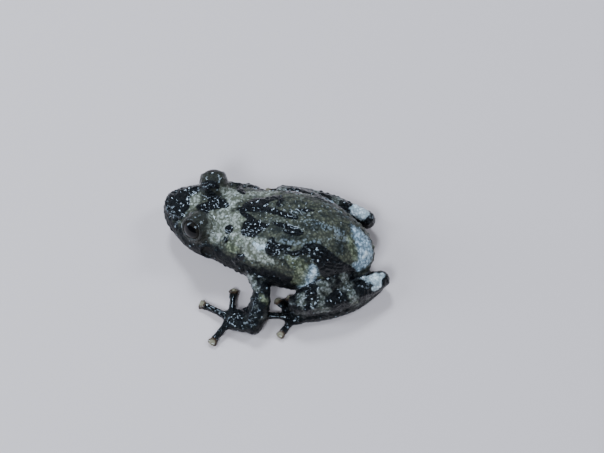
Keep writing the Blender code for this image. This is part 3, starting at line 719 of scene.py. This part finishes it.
# Grains, streaks and blotches, all as numbers from 0 to 1
fray = wet.noise(per_mm=1.6, detail=4.0, roughness=0.65) - 0.5
fine = wet.noise(per_mm=5.0, detail=3.0, roughness=0.6)
grain = wet.grains(per_mm=2.6)
knobs = wet.grains(per_mm=1.5, blur=0.1)
wrinkle = wet.wrinkles(per_mm=1.7, width=0.16, stretch=STREAKS)
gap = (grain + (fine - 0.5) * 0.5).step(0.3, 0.6)
mottle = wet.noise(per_mm=1.5, detail=4.0, roughness=0.7)
speckle = (mottle + 0.14 * gap).step(0.36, 0.7)
streaks = wet.noise(per_mm=0.9, detail=4.0, roughness=0.6, stretch=STREAKS).step(0.36, 0.62)
faint = wet.noise(per_mm=1.3, detail=3.0).step(0.5, 0.75)
clouds = wet.noise(per_mm=0.7, detail=3.0).step(0.5, 0.66)
blotches = wet.kept("limb") * wet.noise(per_mm=0.5, detail=3.0, roughness=0.6).step(0.54, 0.66)

# The colours lie one over another, from the olive ground up
shares = {}
for name, (wander, begins, full) in EDGES.items():
    shares[name] = (wet.kept(name) + fray * wander).step(begins, full)
# Painted glints on the grain tops, partly pale blue-grey skin: along their rows, and in soft clouds
# everywhere.
frost = shares["frost"].most(clouds * 0.3)
pad = wet.kept("pad")
ground = wet.mix(streaks, OLIVE_DARK, OLIVE)
# Darker between the grains: painted shade in the hollows of the skin.
ground = wet.mix(gap * 0.6, ground, HOLLOW_SHADE)
ground = wet.mix(frost * (1 - gap) * 0.45, ground, GLINT_AND_FROST_PALE)
ground = wet.mix(shares["dark"], ground, wet.mix(faint * 0.45, INK, OLIVE_DARK))
ground = wet.mix(blotches * 0.4, ground, wet.mix(speckle, *PALE_MARKINGS["stone"][:2]))
ground = wet.mix(wet.kept("drum") * 0.35, ground, DRUM_BROWN)
ground = wet.mix(wet.kept("over_eye") * 0.75, ground, LID_BROWN)
for name, (on_grain, between_grains, cover) in PALE_MARKINGS.items():
    ground = wet.mix(shares[name] * cover, ground, wet.mix(speckle, on_grain, between_grains))
# Some warts have paler tips: partly their own colour, partly painted glints.
ground = wet.mix(wet.kept("wart").step(0.62, 0.85) * 0.55, ground, WART_TIP_AND_GLINT)
ground = wet.mix(shares["black"], ground, INK)
# The lid margin next to the eye is darkened with painted shade.
ground = wet.mix(wet.kept("lid").step(0.1, 0.6) * 0.7, ground, LID_EDGE_SHADE)
ground = wet.mix(pad.step(0.1, 0.4) * 0.85, ground, PAD_BROWN)
# The pale middle of each pad: partly its own colour, partly painted highlight.
ground = wet.mix((pad + fray * 0.4).step(0.35, 0.6) * 0.8, ground, PAD_PALE_AND_HIGHLIGHT)

# The wettest skin shines most, and its fine wrinkles catch the light
sheen = shares["black"].most(wet.kept("gloss")).most(pad.step(0.05, 0.3))
height = 1 - grain + 0.8 * fine + sheen * (0.3 * fine + 0.9 * wrinkle) - 0.5 * wet.kept("limb") * knobs
bump = {"Strength": RELIEF_STRENGTH, "Distance": RELIEF_DEPTH, "Height": height}
relief = wet.node("ShaderNodeBump", None, bump)
wet.finish(
    Base_Color=ground,
    Roughness=0.5 - 0.2 * sheen + 0.1 * fine,
    Coat_Weight=0.3 + 0.7 * sheen,
    Normal=relief.outputs["Normal"],
)
skin.data.materials.append(wet.material)
skin.data.shade_smooth()
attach(skin, "root")
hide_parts(*FLESH)


# The eyes are round wet globes that fill the lids, nearly black, with a dark bronze iris about a
# wide pupil. Each is a ball turned to look out to its own side, under its own clear gloss.
# The pupil's half width and half height, and the iris's radius, are in millimetres from the gaze.
PUPIL = (1.0, 0.9)
PUPIL_EDGE = (0.94, 1.04)
PUPIL_FRAY = 0.12
IRIS = 1.5
IRIS_FADE = 0.22
IRIS_FRAY = 0.2
PUPIL_BLACK = colour(3, 3, 4)
IRIS_DARK = colour(9, 8, 8)
IRIS_BRONZE = colour(42, 37, 31)
RIM_BLACK = colour(7, 7, 8)
# Towards the rim the clear gloss fades: painted shade of the lids over the globe.
CLEAR_GLOSS = (0.85, 1.35)
GLOSS_LOST_IN_LID_SHADE = 0.9
GLOBE_SIDES = 64
GLOBE_RINGS = 40

glass = Paint("wet_eye", Roughness=0.5, Specular_IOR_Level=0.0, Coat_Roughness=0.03, Coat_IOR=1.3)
from_middle = glass.kept("from_middle")
flecks = glass.noise(per_mm=9.0, detail=3.0, roughness=0.7)
pupil = (glass.kept("from_pupil") + (flecks - 0.5) * PUPIL_FRAY).step(*PUPIL_EDGE)
rim = (from_middle + (flecks - 0.5) * IRIS_FRAY).step(IRIS - IRIS_FADE, IRIS)
iris = glass.mix(flecks.step(0.35, 0.65), IRIS_DARK, IRIS_BRONZE)
eye_colour = glass.mix(rim, glass.mix(pupil, PUPIL_BLACK, iris), RIM_BLACK)
glass.finish(Base_Color=eye_colour, Coat_Weight=1 - from_middle.step(*CLEAR_GLOSS) * GLOSS_LOST_IN_LID_SHADE)

for name, eye in EYES.items():
    bpy.ops.object.select_all(action="DESELECT")
    bpy.ops.mesh.primitive_uv_sphere_add(
        segments=GLOBE_SIDES,
        ring_count=GLOBE_RINGS,
        radius=EYE_RADIUS * MM,
    )
    globe = bpy.context.active_object
    globe.name = globe.data.name = "globe_of_" + name
    look = Vector(eye["gaze"]).normalized()
    globe.rotation_euler = look.to_track_quat("Z", "Y").to_euler()
    globe.location = Vector(eye["centre"]) * MM
    bpy.ops.object.transform_apply(location=True, rotation=True, scale=True)
    spots = in_mm(globe.data) - np.array(eye["centre"])
    in_front = spots @ np.array(look) > 0
    level = Vector((0, 0, 1)).cross(look).normalized()
    across = spots @ np.array(level)
    upright = spots @ np.array(look.cross(level))
    in_pupils = np.hypot(across / PUPIL[0], upright / PUPIL[1])
    keep(globe, "from_pupil", np.where(in_front, in_pupils, FAR))
    keep(globe, "from_middle", np.where(in_front, np.hypot(across, upright), FAR))
    globe.data.materials.append(glass.material)
    globe.data.shade_smooth()
    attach(globe, "root")
    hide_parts(name)


# The floor is a plain sheet of pale matt paper, laid flat under the frog. It is big enough to fill
# the view from any side.
FLOOR_REACH = 6.0
bpy.ops.object.select_all(action="DESELECT")
bpy.ops.mesh.primitive_plane_add(size=2 * FLOOR_REACH)
floor = bpy.context.active_object
floor.name = floor.data.name = "floor"
paper = Paint("pale_paper", Roughness=0.9, Base_Color=colour(214, 192, 182))
floor.data.materials.append(paper.material)


# Light: soft lamps high over the frog, a tall strip before its snout that draws a line on each wet
# eye, and a pale sky. All are slightly blue, as the glints on the wet skin are.
MIDDLE = Vector((-0.003, 0.0, 0.004))
LAMP_TINT = (0.60, 0.78, 1.0)
SKY_TINT = (0.80, 0.88, 1.0, 1.0)
SKY_STRENGTH = 0.16


def lamp(name, place, width, height, power):
    """A flat soft lamp, turned to face the frog."""
    light = bpy.data.lights.new(name, "AREA")
    light.shape = "RECTANGLE"
    light.size = width
    light.size_y = height
    light.energy = power
    light.color = LAMP_TINT
    obj = bpy.data.objects.new(name, light)
    bpy.context.scene.collection.objects.link(obj)
    obj.location = place
    obj.rotation_euler = (MIDDLE - Vector(place)).to_track_quat("-Z", "Y").to_euler()


lamp("key", place=(0.28, -0.06, 0.32), width=0.12, height=0.12, power=1.8)
lamp("rear", place=(-0.16, 0.28, 0.30), width=0.12, height=0.12, power=0.9)
lamp("front", place=(0.04, -0.32, 0.18), width=0.06, height=0.30, power=1.3)
lamp("top", place=(-0.26, -0.10, 0.32), width=0.09, height=0.09, power=1.6)
sky = bpy.data.worlds.new("sky")
sky.use_nodes = True
background = sky.node_tree.nodes["Background"]
background.inputs["Color"].default_value = SKY_TINT
background.inputs["Strength"].default_value = SKY_STRENGTH
bpy.context.scene.world = sky

# The camera stands at the frog's left side, high above it.
AIM = Vector((-5.007, 3.366, 4.0)) * MM
AZIMUTH = math.radians(100)
ELEVATION = math.radians(60)
CAMERA_DISTANCE = 0.150
LENS = 64.55
SENSOR_WIDTH = 36
NEAREST_SEEN = 0.01
level_reach = math.cos(ELEVATION)
toward = Vector((math.sin(AZIMUTH) * level_reach, -math.cos(AZIMUTH) * level_reach, math.sin(ELEVATION)))
camera = bpy.data.cameras.new("camera")
camera.lens = LENS
camera.sensor_width = SENSOR_WIDTH
camera.clip_start = NEAREST_SEEN
eyepoint = bpy.data.objects.new("camera", camera)
bpy.context.scene.collection.objects.link(eyepoint)
eyepoint.location = AIM + toward * CAMERA_DISTANCE
eyepoint.rotation_euler = (-toward).to_track_quat("-Z", "Y").to_euler()
bpy.context.scene.camera = eyepoint

bpy.context.view_layer.update()
